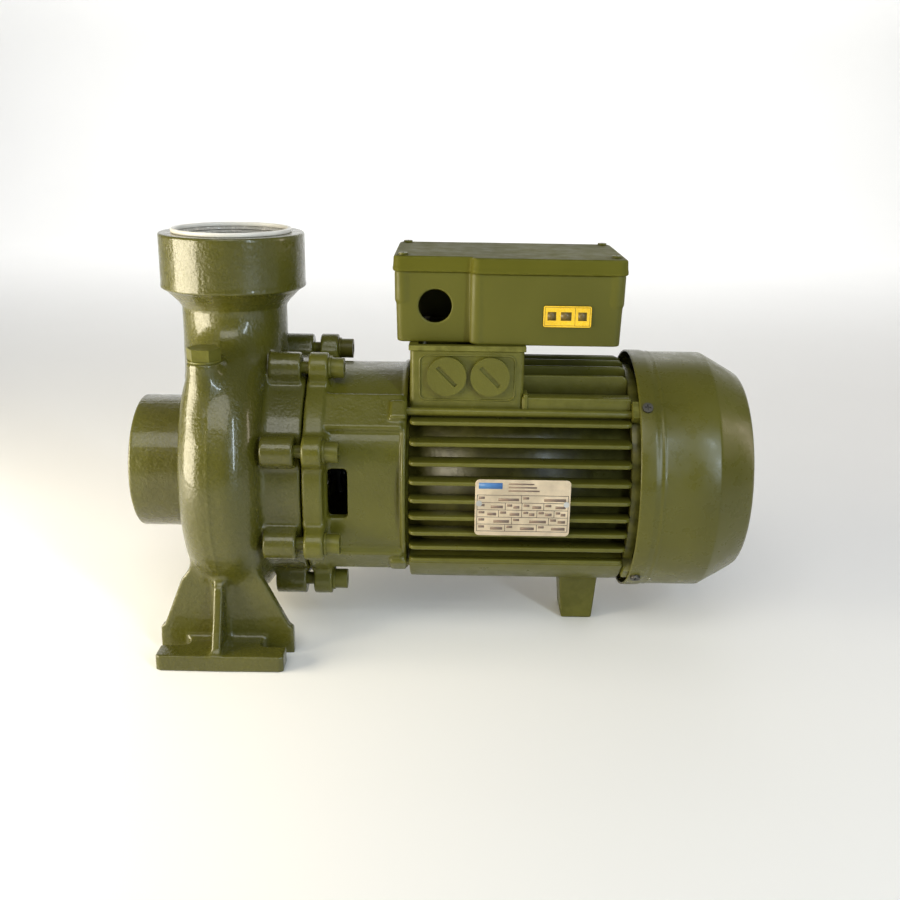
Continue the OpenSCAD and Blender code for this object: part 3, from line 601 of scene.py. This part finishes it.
def build_lid():
    b = Field((128, -59, 298), (306, 52, 311), 0.9)
    lid = lambda x, y, z: round_mix(box_outline(x, y, 1.75 - 0.05 * (z - 299), 6.0) + 1.5,
            np.abs(z - 304.8) - 4.3, 1.5)
    b.add(lid, (129, -58, 299), (306, 51, 311))
    rim = lambda x, y, z: round_mix(box_outline(x, y, 1.8, 6.0) + 0.4, np.abs(z - 300.7) - 1.3, 0.4)
    b.add(rim, (129, -58, 299), (306, 51, 303), 0.6)
    for cx, cy in ((137, -41), (137, 43), (297.5, -41), (297.5, 43)):
        b.cut(cyl_z(4.6, 309.9, 316, cx, cy, 0.2), (cx - 5, cy - 5, 309), (cx + 5, cy + 5, 311.5), 0.5)
    for dx in (0, 9):
        b.cut(box_shape(152 + dx, 153.2 + dx, 12, 24, 310.2, 316, 0.3), (151 + dx, 11, 309),
                (154.5 + dx, 25, 311.5), 0.3)
    b.cut(box_shape(152, 162.2, 23, 24.2, 310.2, 316, 0.3), (151, 22, 309), (163, 25.5, 311.5), 0.3)
    b.cut(lambda x, y, z: np.maximum(box_outline(x, y, -2.0, 4.0), z - 308.2), (133, -54, 297),
            (302, 47, 308.2))
    return b.mesh("lid_cast")


# ---------------------------------------------------------------- plate and label


def build_plate():
    plate = prism("rating_plate", rect(194, 266, 106, 151, 3.6, 8), -93.8, -93.02, "y", 0.25, 2)
    marks = []
    def bar(x0, x1, z0, z1, t=0.05, name="rule"):
        marks.append(prism(name, rect(x0, x1, z0, z1), -93.8 - t, -93.7, "y", 0))
    w = 0.4
    rows = [138.6, 132.6, 126.8, 121.0, 115.2, 109.6]
    for z in rows:
        bar(195.6, 264.4, z - w / 2, z + w / 2)
    for x in (195.6, 264.4):
        bar(x - w / 2, x + w / 2, rows[-1], rows[0])
    cols = [[229], [217, 229.5, 246], [212, 229.5, 241, 254], [222, 250], [217, 241]]
    for k, xs in enumerate(cols):
        for x in xs:
            bar(x - w / 2, x + w / 2, rows[k + 1], rows[k])
    rule = join("plate_rules", marks)
    marks = []
    ends = [[195.6] + c + [264.4] for c in cols]
    for k, xs in enumerate(ends):
        for a, b in zip(xs, xs[1:]):
            zc = (rows[k] + rows[k + 1]) / 2
            bar(a + 1.2, a + 1.2 + min(4.5, (b - a) * 0.32), zc - 0.1, zc + 1.8)
            bar(a + (b - a) * 0.48, b - 1.8, zc - 1.6, zc + 0.6)
    for z in (147.6, 144.9, 142.2):
        bar(219, 243 - (z % 2) * 3, z - 0.6, z + 0.6)
    fields = join("plate_fields", marks)
    marks = []
    bar(196.6, 214.5, 143.6, 148.4)
    logo = join("plate_band", marks)
    return plate, rule, fields, logo


def build_label():
    sticker = prism("notice_sticker", rect(243, 279, 260, 276, 1.6, 6), -56.3, -56.02, "y", 0.1, 2)
    marks = []
    for a0, a1, b0, b1 in ((244, 278, 274.8, 275.1), (244, 278, 261.0, 261.3), (244, 244.3, 261, 275.1),
            (277.7, 278, 261, 275.1), (266.6, 266.9, 261, 275.1), (246, 252.5, 265, 271.5), (256, 264, 265,
                    271.5), (269, 275.5, 265, 271.5)):
        marks.append(prism("line", rect(a0, a1, b0, b1), -56.34, -56.2, "y", 0))
    return sticker, join("notice_lines", marks)


# ---------------------------------------------------------------- materials


def new_material(name):
    m = bpy.data.materials.new(name)
    m.use_nodes = True
    nt = m.node_tree
    bsdf = nt.nodes["Principled BSDF"]
    return m, nt, bsdf


def node(nt, kind, inputs=None, **props):
    n = nt.nodes.new(kind)
    for k, v in props.items():
        setattr(n, k, v)
    for k, v in (inputs or {}).items():
        n.inputs[k].default_value = v
    return n


def coords(nt):
    return node(nt, "ShaderNodeTexCoord").outputs["Object"]


def noise(nt, vec, scale, detail=3.0, rough=0.55, distort=0.0):
    n = node(nt, "ShaderNodeTexNoise", {"Scale": scale, "Detail": detail, "Roughness": rough,
            "Distortion": distort})
    nt.links.new(vec, n.inputs["Vector"])
    return n.outputs["Fac"]


def ramp(nt, fac, lo, hi, a=0.0, b=1.0):
    n = node(nt, "ShaderNodeMapRange", {"From Min": lo, "From Max": hi, "To Min": a, "To Max": b})
    nt.links.new(fac, n.inputs["Value"])
    return n.outputs["Result"]


def mix(nt, fac, a, b):
    n = node(nt, "ShaderNodeMix", data_type="RGBA")
    for key, v in ((0, fac), (6, a), (7, b)):
        if hasattr(v, "links"):
            nt.links.new(v, n.inputs[key])
        else:
            n.inputs[key].default_value = v
    return n.outputs[2]


def math_node(nt, op, a, b=0.0):
    n = node(nt, "ShaderNodeMath", operation=op)
    for key, v in ((0, a), (1, b)):
        if hasattr(v, "links"):
            nt.links.new(v, n.inputs[key])
        else:
            n.inputs[key].default_value = v
    return n.outputs[0]


def bump(nt, bsdf, height, strength, distance):
    n = node(nt, "ShaderNodeBump", {"Strength": strength, "Distance": distance})
    nt.links.new(height, n.inputs["Height"])
    nt.links.new(n.outputs["Normal"], bsdf.inputs["Normal"])
    return n


GREEN = (0.088, 0.085, 0.0075, 1)


def paint(name, base=GREEN, rough=0.3, cast=1.0, grain=260.0, wear_and_sheen=0.3, sheen_var=0.12, spec=0.32, coat=0.0):
    """Enamel over metal: hammered sand-cast skin when cast is high, orange peel when it is low."""
    m, nt, s = new_material(name)
    v = coords(nt)
    broad = noise(nt, v, 9, 2, 0.5)
    fine = noise(nt, v, 85, 4, 0.6)
    light = tuple(min(1, c * 1.22 + 0.004) for c in base[:3]) + (1,)
    dark = tuple(c * 0.80 for c in base[:3]) + (1,)
    col = mix(nt, ramp(nt, broad, 0.3, 0.7), dark, light)
    col = mix(nt, ramp(nt, fine, 0.35, 0.75, 0.0, 0.35), col, base)
    point = node(nt, "ShaderNodeNewGeometry").outputs["Pointiness"]
    # Lighter paint on convex edges found by pointiness: partly real edge wear and partly a painted highlight
    # where the edges catch the light.
    edge = ramp(nt, point, 0.515, 0.60, 0.0, wear_and_sheen)
    edge_wear_and_highlight = math_node(nt, "MULTIPLY", edge, ramp(nt, noise(nt, v, 140, 3), 0.35, 0.62))
    col = mix(nt, edge_wear_and_highlight, col, tuple(min(1, c * 1.75 + 0.02) for c in base[:3]) + (1,))
    # Painted shade: concave hollows found by pointiness are darkened towards a near-black green.
    hollow_shade = ramp(nt, point, 0.485, 0.42, 0.0, 0.55)
    col = mix(nt, hollow_shade, col, tuple(c * 0.45 for c in base[:3]) + (1,))
    nt.links.new(col, s.inputs["Base Color"])
    nt.links.new(ramp(nt, fine, 0.3, 0.7, rough - sheen_var / 2, rough + sheen_var), s.inputs["Roughness"])
    skin = noise(nt, v, grain, 3, 0.55, 0.4)
    lumps = noise(nt, v, grain * 0.24, 2, 0.5)
    height = math_node(nt, "ADD", math_node(nt, "MULTIPLY", skin, 0.7), math_node(nt, "MULTIPLY", lumps, 0.9))
    bump(nt, s, height, 0.95, 0.0011 * cast)
    s.inputs["Specular IOR Level"].default_value = spec
    s.inputs["Coat Weight"].default_value = coat
    s.inputs["Coat Roughness"].default_value = 0.08
    return m


def metal(name, base, rough=0.3, brushed=(300, 20, 20), scratch=0.15, bumpiness=0.00006, spots=0.0):
    m, nt, s = new_material(name)
    v = coords(nt)
    mp = node(nt, "ShaderNodeMapping")
    mp.inputs["Scale"].default_value = brushed
    nt.links.new(v, mp.inputs["Vector"])
    lines = noise(nt, mp.outputs["Vector"], 12, 4, 0.7)
    blot = noise(nt, v, 60, 3, 0.6)
    dark = tuple(c * 0.72 for c in base[:3]) + (1,)
    col = mix(nt, ramp(nt, blot, 0.35, 0.7), dark, base)
    if spots:
        col = mix(nt, ramp(nt, noise(nt, v, 420, 2), 0.62, 0.72, 0, spots), col, (0.16, 0.10, 0.05, 1))
    nt.links.new(col, s.inputs["Base Color"])
    nt.links.new(ramp(nt, lines, 0.3, 0.7, rough - scratch / 2, rough + scratch), s.inputs["Roughness"])
    s.inputs["Metallic"].default_value = 1.0
    bump(nt, s, lines, 0.5, bumpiness)
    return m


def plastic(name, base, rough=0.45, grain=700.0, depth=0.00008, spec=0.5):
    m, nt, s = new_material(name)
    v = coords(nt)
    blot = noise(nt, v, 45, 3, 0.6)
    fine = noise(nt, v, grain, 3, 0.6)
    col = mix(nt, ramp(nt, blot, 0.3, 0.7), tuple(c * 0.84 for c in base[:3]) + (1,),
            tuple(min(1, c * 1.06) for c in base[:3]) + (1,))
    nt.links.new(col, s.inputs["Base Color"])
    nt.links.new(ramp(nt, fine, 0.3, 0.7, rough - 0.07, rough + 0.09), s.inputs["Roughness"])
    s.inputs["Specular IOR Level"].default_value = spec
    bump(nt, s, fine, 0.5, depth)
    return m


def casing_paint(name):
    """Cast enamel with bare machined metal inside the threaded ports."""
    m = paint(name, base=(0.066, 0.0635, 0.0062, 1), cast=0.62, grain=430.0, wear_and_sheen=0.5, rough=0.24,
            spec=0.34, coat=0.4)
    nt = m.node_tree
    s = nt.nodes["Principled BSDF"]
    v = coords(nt)
    sep = node(nt, "ShaderNodeSeparateXYZ")
    nt.links.new(v, sep.inputs[0])
    x, y, z = sep.outputs

    def radius(a, b, off):
        bb = math_node(nt, "SUBTRACT", b, off)
        return math_node(nt, "SQRT", math_node(nt, "ADD", math_node(nt, "MULTIPLY", a, a),
                math_node(nt, "MULTIPLY", bb, bb)))
    top = math_node(nt, "MULTIPLY", math_node(nt, "LESS_THAN", radius(x, y, 0.0), 0.0437),
            math_node(nt, "GREATER_THAN", z, 0.2905))
    side = math_node(nt, "MULTIPLY", math_node(nt, "LESS_THAN", radius(y, z, 0.132), 0.0432),
            math_node(nt, "LESS_THAN", x, -0.0495))
    bare = math_node(nt, "MAXIMUM", top, side)
    old = s.inputs["Base Color"].links[0].from_socket
    tone = mix(nt, ramp(nt, noise(nt, v, 90, 3), 0.3, 0.7), (0.50, 0.48, 0.42, 1), (0.72, 0.70, 0.64, 1))
    nt.links.new(mix(nt, bare, old, tone), s.inputs["Base Color"])
    nt.links.new(math_node(nt, "MULTIPLY", bare, 0.25), s.inputs["Metallic"])
    old_bump = s.inputs["Normal"].links[0].from_node
    pitch = 2 * math.pi / 0.00231
    wave = math_node(nt, "ADD", math_node(nt, "MULTIPLY", math_node(nt, "SINE", math_node(nt, "MULTIPLY", z,
            pitch)), top),
                     math_node(nt, "MULTIPLY", math_node(nt, "SINE", math_node(nt, "MULTIPLY", x, pitch)),
                             side))
    b2 = node(nt, "ShaderNodeBump", {"Strength": 1.0, "Distance": 0.0006})
    nt.links.new(wave, b2.inputs["Height"])
    nt.links.new(old_bump.outputs["Normal"], b2.inputs["Normal"])
    nt.links.new(b2.outputs["Normal"], s.inputs["Normal"])
    return m


def housing_paint(name):
    """Smooth enamel with painted shade that darkens it towards the roots of the fins."""
    m = paint(name, cast=0.16, grain=420, wear_and_sheen=0.7, rough=0.32)
    nt = m.node_tree
    s = nt.nodes["Principled BSDF"]
    sep = node(nt, "ShaderNodeSeparateXYZ")
    nt.links.new(coords(nt), sep.inputs[0])
    up = math_node(nt, "SUBTRACT", sep.outputs[2], 0.132)
    r = math_node(nt, "SQRT", math_node(nt, "ADD",
            math_node(nt, "MULTIPLY", sep.outputs[1], sep.outputs[1]), math_node(nt, "MULTIPLY", up, up)))
    # Painted shade: the paint darkens towards the fin roots by radius from the shaft line, broken up a little
    # by noise.
    fin_gap_shade = math_node(nt, "MULTIPLY", ramp(nt, r, 0.0915, 0.0795, 0.0, 0.8),
            ramp(nt, noise(nt, coords(nt), 60, 3), 0.25, 0.6, 0.75, 1.0))
    old = s.inputs["Base Color"].links[0].from_socket
    nt.links.new(mix(nt, fin_gap_shade, old, (0.016, 0.015, 0.003, 1)), s.inputs["Base Color"])
    return m


def give(ob, m):
    ob.data.materials.clear()
    ob.data.materials.append(m)


M_CAST = casing_paint("cast_enamel")
M_CAST2 = paint("bracket_enamel", cast=0.42, grain=430, wear_and_sheen=0.5, rough=0.3, coat=0.2)
M_HOUSE = housing_paint("housing_enamel")
M_BOX = paint("box_enamel", base=(0.086, 0.083, 0.0075, 1), cast=0.07, grain=560, wear_and_sheen=0.6, rough=0.42,
        spec=0.24)
M_LID = paint("lid_enamel", base=(0.086, 0.083, 0.0075, 1), cast=0.07, grain=560, wear_and_sheen=0.8, rough=0.5,
        spec=0.07)
M_COVER = paint("cover_enamel", base=(0.088, 0.083, 0.009, 1), cast=0.05, grain=360, wear_and_sheen=0.35, rough=0.27,
        spec=0.34)
M_SMALL = paint("fitting_enamel", cast=0.22, grain=520, wear_and_sheen=0.7, rough=0.33)
M_ZINC = metal("zinc_plate", (0.62, 0.60, 0.55, 1), 0.34, (60, 60, 60), 0.2, spots=0.25)
M_STEEL = metal("ground_steel", (0.62, 0.63, 0.65, 1), 0.22, (20, 400, 400), 0.12)
M_BEAR = metal("bearing_steel", (0.74, 0.75, 0.77, 1), 0.12, (20, 500, 500), 0.06)
M_LAM = metal("lamination_steel", (0.27, 0.27, 0.29, 1), 0.45, (2600, 8, 8), 0.2, 0.0002, 0.2)
M_ALU = metal("cast_aluminium", (0.68, 0.68, 0.66, 1), 0.38, (40, 40, 40), 0.25, 0.0002)
M_BRASS = metal("brass", (0.78, 0.57, 0.25, 1), 0.28, (200, 60, 60), 0.15)
M_BRONZE = metal("cast_bronze", (0.58, 0.38, 0.18, 1), 0.36, (50, 50, 50), 0.25, 0.0003, 0.2)
M_COPPER = metal("copper", (0.72, 0.34, 0.17, 1), 0.32, (700, 40, 40), 0.2, 0.0002)
M_BLACKOX = metal("black_oxide", (0.13, 0.125, 0.11, 1), 0.42, (60, 60, 60), 0.2, spots=0.2)
M_RUBBER = plastic("rubber", (0.025, 0.025, 0.026, 1), 0.62, 500, 0.00012, 0.35)
M_BLACKP = plastic("black_plastic", (0.03, 0.03, 0.033, 1), 0.42)
M_WHITEP = plastic("white_plastic", (0.83, 0.81, 0.74, 1), 0.38)
M_CERAMIC = plastic("ceramic", (0.80, 0.78, 0.72, 1), 0.18, 300, 0.00002)
M_PHENOL = plastic("phenolic", (0.13, 0.035, 0.02, 1), 0.35)
M_PLATE = metal("rating_plate", (0.86, 0.72, 0.52, 1), 0.42, (14, 300, 300), 0.2, 0.00005)
M_RULE = plastic("plate_ink", (0.05, 0.035, 0.03, 1), 0.5)
M_FIELD = plastic("plate_fields", (0.20, 0.14, 0.10, 1), 0.5)
M_BAND = plastic("plate_band", (0.05, 0.16, 0.38, 1), 0.45)
M_YELLOW = plastic("notice_yellow", (0.83, 0.52, 0.02, 1), 0.28)
M_INK = plastic("notice_ink", (0.12, 0.08, 0.01, 1), 0.4)

# ---------------------------------------------------------------- build


def place(ob, material, *nodes, slot=None):
    give(ob, material)
    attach(ob, "stator")
    if nodes:
        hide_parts(*nodes)
    return ob


place(build_volute(), M_CAST, "volute_casing", slot="cast_paint")
place(build_bracket(), M_CAST2, "motor_bracket", slot="cast_paint")
place(build_housing(), M_HOUSE, "motor_housing", slot="housing_paint")
place(build_cover(), M_COVER, "fan_cover", slot="housing_paint")
place(build_box(), M_BOX, "box_body", slot="box_paint")
place(build_lid(), M_LID, "box_lid", slot="box_paint")
plate, rules, fields, band = build_plate()
place(plate, M_PLATE, "nameplate", slot="plate_metal")
place(rules, M_RULE, slot="label_film")
place(fields, M_FIELD, slot="label_film")
place(band, M_BAND, slot="label_film")
sticker, lines = build_label()
place(sticker, M_YELLOW, "info_label", slot="label_film")
place(lines, M_INK, slot="label_film")

LOOKS = {
    M_SMALL: ["priming_plug", "priming_plug_washer", "drain_plug", "blanking_plugs", "flange_bolts",
            "lid_screws", "flange_washers", "support_foot", "tie_rods"],
    # The rear end shield takes the housing enamel, so the painted fin-root shade darkens it inside the fan
    # cover rim.
    M_HOUSE: ["rear_end_shield", "box_gasket"],
    M_ALU: ["nameplate_rivets"],
    M_ZINC: ["tie_rod_nuts", "box_screws", "wave_washer", "capacitor_clip"],
    M_STEEL: ["shaft", "impeller_key", "impeller_washer", "impeller_nut", "seal_spring", "fan_clip"],
    M_BEAR: ["front_bearing_outer", "front_bearing_inner", "front_bearing_balls", "rear_bearing_outer",
            "rear_bearing_inner", "rear_bearing_balls"],
    M_LAM: ["rotor_core", "stator_core"],
    M_BRONZE: ["impeller", "wear_ring"],
    M_COPPER: ["stator_winding"],
    M_BRASS: ["terminal_studs", "terminal_nuts", "earth_screw"],
    M_RUBBER: ["casing_o_ring", "plug_seals", "lid_gasket", "seal_bellows", "slinger"],
    M_BLACKP: ["cooling_fan", "seal_rotating_ring"],
    M_BLACKOX: ["support_foot_screw", "fan_cover_screws"],
    M_WHITEP: ["port_ring", "run_capacitor"],
    M_CERAMIC: ["seal_seat"],
    M_PHENOL: ["terminal_board"],
}
ROUNDING = {"flange_bolts": 0.9, "priming_plug": 0.8, "blanking_plugs": 0.8, "support_foot": 2.0,
            "port_ring": 0.8, "drain_plug": 0.6, "box_gasket": 0.4, "flange_washers": 0.3,
            "fan_cover_screws": 0.4, "lid_screws": 0.4, "cooling_fan": 0.5, "impeller": 0.5}
for material, names in LOOKS.items():
    for n in names:
        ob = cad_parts[n]
        give(ob, material)
        bevelled(ob, ROUNDING.get(n, 0.25), 3, 35)

# ---------------------------------------------------------------- stage, light and camera

sweep = [(-3500, 0), (2600, 0)] + [(2600 + 700 * math.sin(t),
        700 - 700 * math.cos(t)) for t in np.linspace(0.1, math.pi / 2, 12)] + [(3300, 2800)]
floor = mesh_object("floor", [(x, y, z) for y, z in sweep for x in (-4500, 5000)],
                    [(2 * i, 2 * i + 1, 2 * i + 3, 2 * i + 2) for i in range(len(sweep) - 1)])
mf, nf, sf = new_material("floor_paper")
nf.links.new(mix(nf, noise(nf, coords(nf), 3, 2), (0.88, 0.88, 0.87, 1), (0.91, 0.91, 0.90, 1)),
        sf.inputs["Base Color"])
sf.inputs["Roughness"].default_value = 0.8
give(floor, mf)

world = bpy.data.worlds.new("studio")
bpy.context.scene.world = world
world.use_nodes = True
world.node_tree.nodes["Background"].inputs[0].default_value = (1.0, 0.98, 0.95, 1)
world.node_tree.nodes["Background"].inputs[1].default_value = 0.2
bpy.context.scene.view_settings.view_transform = "Standard"


def area(name, loc, target, size, power, colour):
    li = bpy.data.lights.new(name, "AREA")
    li.shape = "RECTANGLE"
    li.size, li.size_y = size
    li.energy = power
    li.color = colour
    ob = bpy.data.objects.new(name, li)
    ob.location = loc
    ob.rotation_euler = (Vector(target) - Vector(loc)).to_track_quat("-Z", "Y").to_euler()
    bpy.context.scene.collection.objects.link(ob)
    return ob


MID = (0.16, 0.0, 0.16)
area("window_left", (-0.72, -0.32, 0.24), (0.0, -0.02, 0.16), (0.62, 0.44), 14, (1.0, 0.90, 0.68))
area("strip_right", (1.3, -1.6, 1.0), (0.0, 0, 0.18), (0.13, 1.5), 20, (0.74, 0.87, 1.0))
area("top_soft", (-0.1, -1.45, 1.85), MID, (1.4, 1.0), 17.5, (1.0, 0.99, 0.95))
area("warm_far_right", (1.9, 0.1, 0.55), (0.4, 0, 0.14), (0.3, 0.7), 5, (1.0, 0.84, 0.70))
area("wall_wash", (0.2, 2.2, 2.3), (0.2, 3.4, 0.9), (4.5, 0.8), 66, (1.0, 1.0, 1.0))

cam_data = bpy.data.cameras.new("view")
cam_data.sensor_width = 36.0
cam_data.lens = 41.667
cam = bpy.data.objects.new("view", cam_data)
bpy.context.scene.collection.objects.link(cam)
yaw, pitch, roll = -0.0024, 0.3057, 0.0153
fwd = Vector((math.sin(yaw) * math.cos(pitch), math.cos(yaw) * math.cos(pitch), -math.sin(pitch)))
right = Vector((math.cos(yaw), -math.sin(yaw), 0.0))
up = right.cross(fwd)
r2 = right * math.cos(roll) + up * math.sin(roll)
u2 = up * math.cos(roll) - right * math.sin(roll)
cam.matrix_world = Matrix.Translation((0.1763, -0.8317, 0.4066)) @ Matrix((
    (r2.x, u2.x, -fwd.x, 0), (r2.y, u2.y, -fwd.y, 0), (r2.z, u2.z, -fwd.z, 0), (0, 0, 0, 1)))
bpy.context.scene.camera = cam
